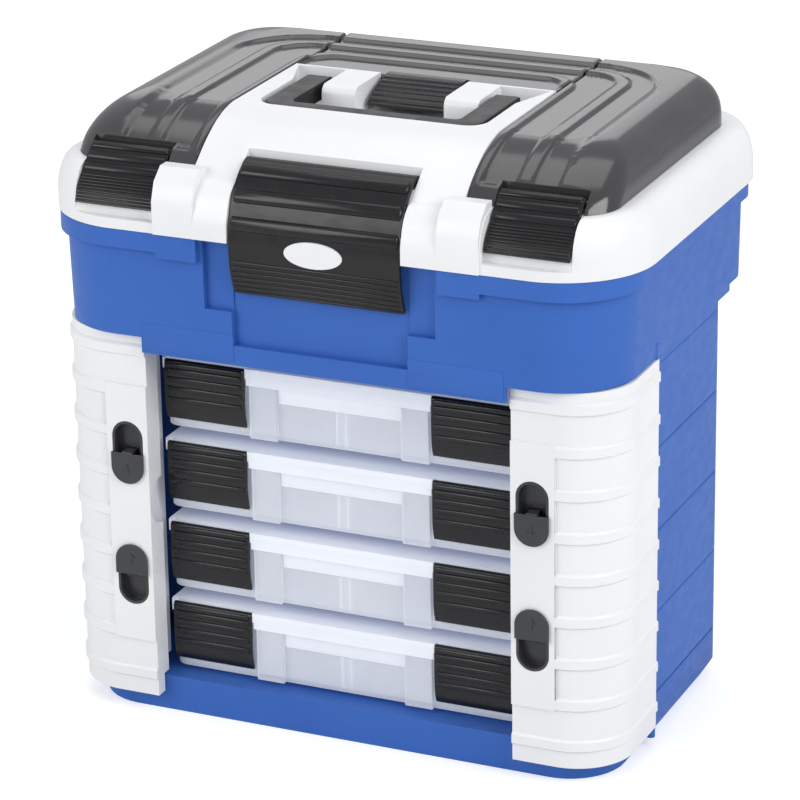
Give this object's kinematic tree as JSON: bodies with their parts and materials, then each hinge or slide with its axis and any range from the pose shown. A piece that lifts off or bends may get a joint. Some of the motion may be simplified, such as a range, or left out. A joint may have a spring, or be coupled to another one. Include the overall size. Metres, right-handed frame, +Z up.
{
  "type": "fishing tackle cabinet",
  "caption": "Portable tackle cabinet: lidded cases slide out between corner doors, under a deep bin whose lid has see-through compartments, latches and a folding handle",
  "frame": {"origin": "On the ground under the middle of the cabinet: the centre of the overall box's underside", "axes": "+X to the right seen from the front, +Y to the back (the doors face -Y), +Z up"},
  "size_m": [0.43, 0.292, 0.432],
  "materials": {
    "blue_plastic": "fine-grained moulded polypropylene",
    "white_plastic": "fine-grained moulded polypropylene",
    "black_plastic": "satin moulded plastic",
    "grey_plastic": "satin moulded plastic",
    "smoked_plastic": "polished, see-through smoked plastic",
    "clear_plastic": "frosted see-through polypropylene",
    "steel_pin": "drawn wire"
  },
  "bodies": {
    "cabinet": {"base": "blue_plastic", "drawer_frame_1": "blue_plastic", "drawer_frame_2": "blue_plastic", "drawer_frame_3": "blue_plastic", "drawer_frame_4": "blue_plastic", "bin": "blue_plastic", "lid_hinge_pins": "steel_pin", "right_door_pin": "steel_pin", "left_door_pin": "steel_pin"},
    "lid": {"lid": "white_plastic", "right_cover_pin": "steel_pin", "left_cover_pin": "steel_pin", "rear_cover_pin": "steel_pin", "handle_pins": "steel_pin", "front_latch_pin": "steel_pin"},
    "front_latch": {"front_latch": "black_plastic", "front_latch_plate": "white_plastic"},
    "handle": {"handle": "black_plastic"},
    "right_cover": {"right_cover": "smoked_plastic", "right_cover_latch_pin": "steel_pin"},
    "right_cover_latch": {"right_cover_latch": "black_plastic"},
    "left_cover": {"left_cover": "smoked_plastic", "left_cover_latch_pin": "steel_pin"},
    "left_cover_latch": {"left_cover_latch": "black_plastic"},
    "rear_cover": {"rear_cover": "smoked_plastic", "rear_cover_latch_pin": "steel_pin"},
    "rear_cover_latch": {"rear_cover_latch": "black_plastic"},
    "right_door": {"right_door": "white_plastic", "right_door_lower_cup": "grey_plastic", "right_door_upper_cup": "grey_plastic"},
    "right_door_lower_slider": {"right_door_lower_slider": "grey_plastic"},
    "right_door_upper_slider": {"right_door_upper_slider": "grey_plastic"},
    "left_door": {"left_door": "white_plastic", "left_door_lower_cup": "grey_plastic", "left_door_upper_cup": "grey_plastic"},
    "left_door_lower_slider": {"left_door_lower_slider": "grey_plastic"},
    "left_door_upper_slider": {"left_door_upper_slider": "grey_plastic"},
    "case_1": {"case_1_tray": "clear_plastic", "case_1_lid": "clear_plastic", "case_1_dividers": "clear_plastic"},
    "case_1_right_latch": {"case_1_right_latch": "black_plastic"},
    "case_1_left_latch": {"case_1_left_latch": "black_plastic"},
    "case_2": {"case_2_tray": "clear_plastic", "case_2_lid": "clear_plastic", "case_2_dividers": "clear_plastic"},
    "case_2_right_latch": {"case_2_right_latch": "black_plastic"},
    "case_2_left_latch": {"case_2_left_latch": "black_plastic"},
    "case_3": {"case_3_tray": "clear_plastic", "case_3_lid": "clear_plastic", "case_3_dividers": "clear_plastic"},
    "case_3_right_latch": {"case_3_right_latch": "black_plastic"},
    "case_3_left_latch": {"case_3_left_latch": "black_plastic"},
    "case_4": {"case_4_tray": "clear_plastic", "case_4_lid": "clear_plastic", "case_4_dividers": "clear_plastic"},
    "case_4_right_latch": {"case_4_right_latch": "black_plastic"},
    "case_4_left_latch": {"case_4_left_latch": "black_plastic"}
  },
  "joints": [
    {"name": "lid_hinge", "type": "hinge", "parent": "cabinet", "child": "lid", "pos_m": [0, 0.143, 0.3573], "axis": [-1, 0, 0], "range_deg": [0, 95]},
    {"name": "front_latch_hinge", "type": "hinge", "parent": "lid", "child": "front_latch", "pos_m": [0, -0.112, 0.4085], "axis": [-1, 0, 0], "range_deg": [0, 70]},
    {"name": "handle_hinge", "type": "hinge", "parent": "lid", "child": "handle", "pos_m": [0, 0.014, 0.4245], "axis": [-1, 0, 0], "range_deg": [0, 90]},
    {"name": "right_cover_hinge", "type": "hinge", "parent": "lid", "child": "right_cover", "pos_m": [0.14675, 0.1346, 0.4046], "axis": [-1, 0, 0], "range_deg": [0, 95]},
    {"name": "right_cover_latch_hinge", "type": "hinge", "parent": "right_cover", "child": "right_cover_latch", "pos_m": [0.1485, -0.109, 0.4063], "axis": [-1, 0, 0], "range_deg": [0, 60]},
    {"name": "left_cover_hinge", "type": "hinge", "parent": "lid", "child": "left_cover", "pos_m": [-0.14675, 0.1346, 0.4046], "axis": [-1, 0, 0], "range_deg": [0, 95]},
    {"name": "left_cover_latch_hinge", "type": "hinge", "parent": "left_cover", "child": "left_cover_latch", "pos_m": [-0.1485, -0.109, 0.4063], "axis": [-1, 0, 0], "range_deg": [0, 60]},
    {"name": "rear_cover_hinge", "type": "hinge", "parent": "lid", "child": "rear_cover", "pos_m": [0, 0.1346, 0.4046], "axis": [-1, 0, 0], "range_deg": [0, 95]},
    {"name": "rear_cover_latch_hinge", "type": "hinge", "parent": "rear_cover", "child": "rear_cover_latch", "pos_m": [0, 0.0459, 0.4284], "axis": [-1, 0, 0], "range_deg": [0, 75]},
    {"name": "right_door_hinge", "type": "hinge", "parent": "cabinet", "child": "right_door", "pos_m": [0.203, -0.0505, 0.15], "axis": [0, 0, 1], "range_deg": [0, 100]},
    {"name": "right_door_lower_slide", "type": "slide", "parent": "right_door", "child": "right_door_lower_slider", "axis": [0, 0, 1], "range_m": [0, 0.006]},
    {"name": "right_door_upper_slide", "type": "slide", "parent": "right_door", "child": "right_door_upper_slider", "axis": [0, 0, -1], "range_m": [0, 0.006]},
    {"name": "left_door_hinge", "type": "hinge", "parent": "cabinet", "child": "left_door", "pos_m": [-0.203, -0.0505, 0.15], "axis": [0, 0, -1], "range_deg": [0, 100]},
    {"name": "left_door_lower_slide", "type": "slide", "parent": "left_door", "child": "left_door_lower_slider", "axis": [0, 0, 1], "range_m": [0, 0.006]},
    {"name": "left_door_upper_slide", "type": "slide", "parent": "left_door", "child": "left_door_upper_slider", "axis": [0, 0, -1], "range_m": [0, 0.006]},
    {"name": "case_1_slide", "type": "slide", "parent": "cabinet", "child": "case_1", "axis": [0, -1, 0], "range_m": [0, 0.155]},
    {"name": "case_1_right_latch_hinge", "type": "hinge", "parent": "case_1", "child": "case_1_right_latch", "pos_m": [0.0994, -0.1112, 0.077], "axis": [-1, 0, 0], "range_deg": [0, 60]},
    {"name": "case_1_left_latch_hinge", "type": "hinge", "parent": "case_1", "child": "case_1_left_latch", "pos_m": [-0.0994, -0.1112, 0.077], "axis": [-1, 0, 0], "range_deg": [0, 60]},
    {"name": "case_2_slide", "type": "slide", "parent": "cabinet", "child": "case_2", "axis": [0, -1, 0], "range_m": [0, 0.155]},
    {"name": "case_2_right_latch_hinge", "type": "hinge", "parent": "case_2", "child": "case_2_right_latch", "pos_m": [0.0994, -0.1112, 0.1373], "axis": [-1, 0, 0], "range_deg": [0, 60]},
    {"name": "case_2_left_latch_hinge", "type": "hinge", "parent": "case_2", "child": "case_2_left_latch", "pos_m": [-0.0994, -0.1112, 0.1373], "axis": [-1, 0, 0], "range_deg": [0, 60]},
    {"name": "case_3_slide", "type": "slide", "parent": "cabinet", "child": "case_3", "axis": [0, -1, 0], "range_m": [0, 0.155]},
    {"name": "case_3_right_latch_hinge", "type": "hinge", "parent": "case_3", "child": "case_3_right_latch", "pos_m": [0.0994, -0.1112, 0.1976], "axis": [-1, 0, 0], "range_deg": [0, 60]},
    {"name": "case_3_left_latch_hinge", "type": "hinge", "parent": "case_3", "child": "case_3_left_latch", "pos_m": [-0.0994, -0.1112, 0.1976], "axis": [-1, 0, 0], "range_deg": [0, 60]},
    {"name": "case_4_slide", "type": "slide", "parent": "cabinet", "child": "case_4", "axis": [0, -1, 0], "range_m": [0, 0.155]},
    {"name": "case_4_right_latch_hinge", "type": "hinge", "parent": "case_4", "child": "case_4_right_latch", "pos_m": [0.0994, -0.1112, 0.2579], "axis": [-1, 0, 0], "range_deg": [0, 60]},
    {"name": "case_4_left_latch_hinge", "type": "hinge", "parent": "case_4", "child": "case_4_left_latch", "pos_m": [-0.0994, -0.1112, 0.2579], "axis": [-1, 0, 0], "range_deg": [0, 60]}
  ]
}
